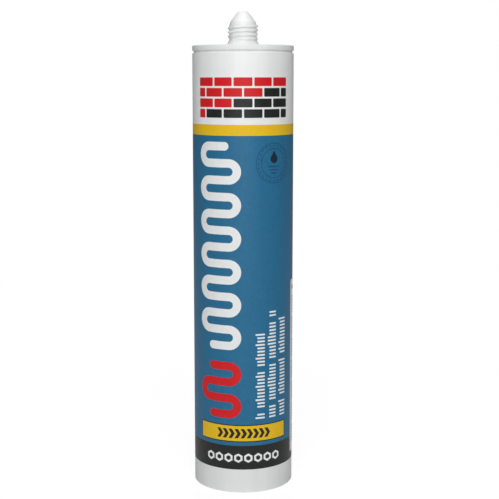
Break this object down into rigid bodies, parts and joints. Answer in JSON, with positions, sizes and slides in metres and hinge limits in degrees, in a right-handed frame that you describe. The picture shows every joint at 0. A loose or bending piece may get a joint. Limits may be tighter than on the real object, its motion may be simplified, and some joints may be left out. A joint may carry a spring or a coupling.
{
  "type": "sealant cartridge",
  "caption": "White plastic barrel with a threaded, closed neck, filled with adhesive that a sliding piston pushes out; printed colour fields round the outside.",
  "frame": {"origin": "centre of the rear rim, on the surface that the cartridge stands on", "axes": "+Z along the barrel towards the neck, -Y towards the printed front, +X to the front's right"},
  "size_m": [0.05, 0.05, 0.2371],
  "materials": {
    "shell": "satin moulded HDPE, printed",
    "follower": "satin moulded polyethylene",
    "paste": "moist paste"
  },
  "bodies": {
    "cartridge": {"cartridge": "shell", "adhesive": "paste"},
    "piston": {"piston": "follower"}
  },
  "joints": [
    {"name": "piston_slide", "type": "slide", "parent": "cartridge", "child": "piston", "axis": [0, 0, 1], "range_m": [0, 0.1785], "deforming": ["adhesive"]}
  ]
}
